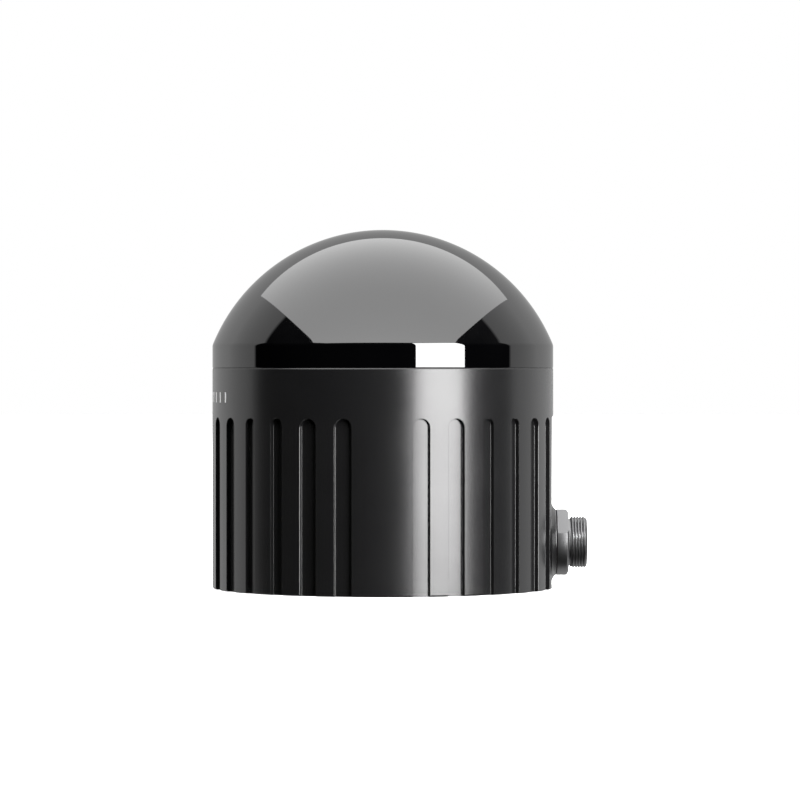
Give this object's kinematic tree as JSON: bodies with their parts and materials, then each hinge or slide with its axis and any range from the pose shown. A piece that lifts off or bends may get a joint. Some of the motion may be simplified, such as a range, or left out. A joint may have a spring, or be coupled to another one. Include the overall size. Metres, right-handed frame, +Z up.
{
  "type": "lidar scanner module",
  "caption": "Compact round lidar: gloss black dome on a finned aluminium housing, round cable connector low on one side, spinning optical head inside.",
  "frame": {"origin": "centre of the flat underside, on the axis that the head spins about", "axes": "+Z up through the top of the dome, +X out along the cable connector, -X the marked front of the module"},
  "size_m": [0.0659, 0.06, 0.063],
  "materials": {
    "anodised_black": "black anodised over a fine blasted surface",
    "dome_gloss": "polished, black to the eye and clear to infrared light",
    "seal_rubber": "smooth moulded cord",
    "moulded_black": "fine moulded texture",
    "connector_plate": "satin dark nickel plate",
    "pin_gold": "gold plated",
    "flex_amber": "amber polyimide film",
    "gap_pad": "soft heat-conducting pad",
    "board_green": "solder mask over glass laminate",
    "chip_black": "moulded package",
    "coil_copper": "enamelled copper wire",
    "core_iron": "stacked laminations",
    "magnet_plate": "nickel plated",
    "bare_alloy": "machined and clear anodised",
    "lens_glass": "coated lens",
    "bright_steel": "ground",
    "screw_black": "blackened"
  },
  "bodies": {
    "housing": {"main_housing": "anodised_black", "dome_window": "dome_gloss", "dome_seal_ring": "seal_rubber", "base_cover": "anodised_black", "base_seal_ring": "seal_rubber", "vent_plug": "moulded_black", "base_screw_1": "screw_black", "base_screw_2": "screw_black", "base_screw_3": "screw_black", "base_screw_4": "screw_black", "connector_shell": "connector_plate", "connector_seal_ring": "seal_rubber", "connector_insert": "moulded_black", "connector_nut": "connector_plate", "contact_pin_1": "pin_gold", "contact_pin_2": "pin_gold", "contact_pin_3": "pin_gold", "contact_pin_4": "pin_gold", "contact_pin_5": "pin_gold", "contact_pin_6": "pin_gold", "connector_flex": "flex_amber", "main_board": "board_green", "processor_chip": "chip_black", "thermal_pad": "gap_pad", "memory_chip": "chip_black", "network_transformer": "chip_black", "board_post_1": "bright_steel", "board_post_2": "bright_steel", "board_post_3": "bright_steel", "spindle": "bright_steel", "lower_bearing_inner_race": "bright_steel", "upper_bearing_inner_race": "bright_steel", "spindle_nut": "bright_steel", "stator_core": "core_iron", "stator_winding": "coil_copper", "fixed_power_coil": "coil_copper", "code_reader": "chip_black", "data_link_emitter": "lens_glass"},
    "rotor": {"lower_bearing_outer_race": "bright_steel", "upper_bearing_outer_race": "bright_steel", "rotor_hub": "bare_alloy", "magnet_ring": "magnet_plate", "rotor_power_coil": "coil_copper", "code_disc": "bright_steel", "rotor_platform": "bare_alloy", "rotor_board": "board_green", "data_link_receiver": "lens_glass", "balance_weight": "magnet_plate", "head_cheek_left": "bare_alloy", "head_cheek_right": "bare_alloy", "lens_holder": "bare_alloy", "transmitter_tube": "moulded_black", "transmitter_lens": "lens_glass", "transmitter_board": "board_green", "receiver_tube": "moulded_black", "receiver_lens": "lens_glass", "receiver_board": "board_green", "light_shield": "moulded_black"},
    "lower_ball_cage": {"lower_bearing_balls": "bright_steel"},
    "upper_ball_cage": {"upper_bearing_balls": "bright_steel"}
  },
  "joints": [
    {"name": "scan_rotor_spin", "type": "hinge", "parent": "housing", "child": "rotor", "pos_m": [0, 0, 0.03], "axis": [0, 0, 1], "continuous": true},
    {"name": "lower_cage_spin", "type": "hinge", "parent": "housing", "child": "lower_ball_cage", "pos_m": [0, 0, 0.0266], "axis": [0, 0, 1], "continuous": true},
    {"name": "upper_cage_spin", "type": "hinge", "parent": "housing", "child": "upper_ball_cage", "pos_m": [0, 0, 0.035], "axis": [0, 0, 1], "continuous": true}
  ],
  "couplings": [
    {"joint": "lower_cage_spin", "follows": "scan_rotor_spin", "ratio": 0.5714},
    {"joint": "upper_cage_spin", "follows": "scan_rotor_spin", "ratio": 0.5714}
  ]
}
